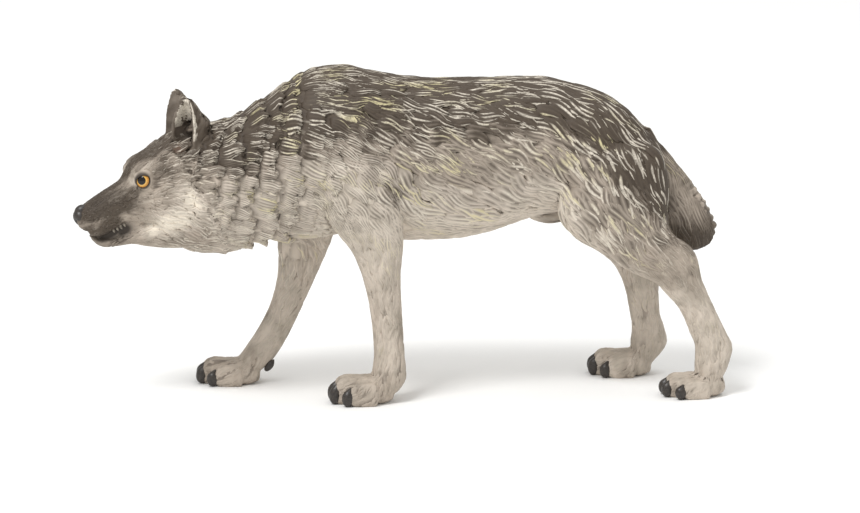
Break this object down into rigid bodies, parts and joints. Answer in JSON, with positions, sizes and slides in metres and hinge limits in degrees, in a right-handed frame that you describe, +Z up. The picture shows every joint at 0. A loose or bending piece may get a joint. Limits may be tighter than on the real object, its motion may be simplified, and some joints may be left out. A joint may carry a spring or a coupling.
{
  "type": "toy wolf figurine",
  "caption": "Hand-painted solid plastic figurine of a grey wolf, standing on its four paws in a low stalking pose.",
  "frame": {"origin": "on the ground, under the middle of the figure's box", "axes": "+Z up; the wolf faces -X and its left side is -Y"},
  "size_m": [0.1314, 0.0285, 0.0664],
  "materials": {
    "coat": "moulded fur, painted dark brown-grey on the back and mid grey on the flank, dry-brushed cream on the ridges",
    "face": "moulded short fur, painted dark grey-brown above and cream on the cheek",
    "pale_coat": "moulded short fur, painted pale cream-grey",
    "black_gloss": "black paint, half gloss",
    "eye": "amber iris and black pupil, painted and varnished",
    "teeth": "off-white paint"
  },
  "bodies": {
    "root": {"trunk": "coat", "neck": "coat", "tail": "coat", "head": "face", "jaw": "face", "ear_left": "face", "ear_right": "face", "leg_fore_left": "pale_coat", "leg_fore_right": "pale_coat", "leg_hind_left": "pale_coat", "leg_hind_right": "pale_coat", "paw_fore_left": "pale_coat", "paw_fore_right": "pale_coat", "paw_hind_left": "pale_coat", "paw_hind_right": "pale_coat", "nose": "black_gloss", "eye_left": "eye", "eye_right": "eye"}
  },
  "joints": []
}
